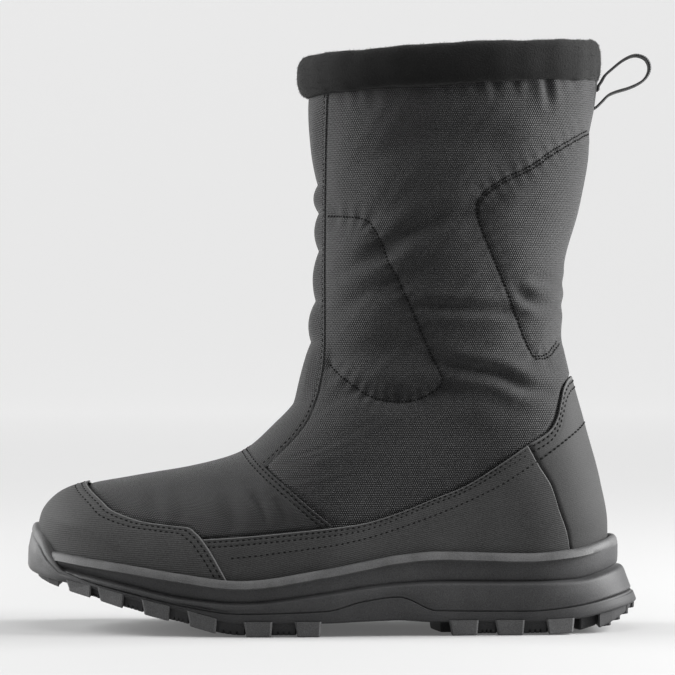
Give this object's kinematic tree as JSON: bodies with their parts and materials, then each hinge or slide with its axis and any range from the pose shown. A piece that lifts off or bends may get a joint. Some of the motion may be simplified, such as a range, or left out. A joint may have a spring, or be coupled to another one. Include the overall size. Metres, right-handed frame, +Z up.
{
  "type": "snow hiking boot",
  "caption": "Pull-on winter hiking boot: padded fabric shaft, coated toe cap, mudguards and heel counter, fleece collar, lugged rubber sole and a pull loop.",
  "frame": {"origin": "on the floor, in the middle of the boot's box", "axes": "+X from toe to heel, +Y to the inner side of this left boot, +Z up"},
  "size_m": [0.3111, 0.116, 0.2924],
  "materials": {
    "outsole_rubber": "satin, fine moulded grain",
    "midsole_foam": "satin, fine moulded grain",
    "insole_felt": "matt felt",
    "shaft_fabric": "coarse woven nylon, quilted",
    "coated_fabric": "coated ribbed cloth, slight sheen",
    "collar_fleece": "matt deep fleece",
    "loop_webbing": "ribbed webbing"
  },
  "bodies": {
    "root": {"outsole": "outsole_rubber", "midsole": "midsole_foam", "insole": "insole_felt", "upper": "shaft_fabric", "toe_cap": "coated_fabric", "mudguard_outer": "coated_fabric", "mudguard_inner": "coated_fabric", "heel_counter": "coated_fabric", "front_strip": "shaft_fabric", "collar_cuff": "collar_fleece", "pull_loop": "loop_webbing"}
  },
  "joints": []
}
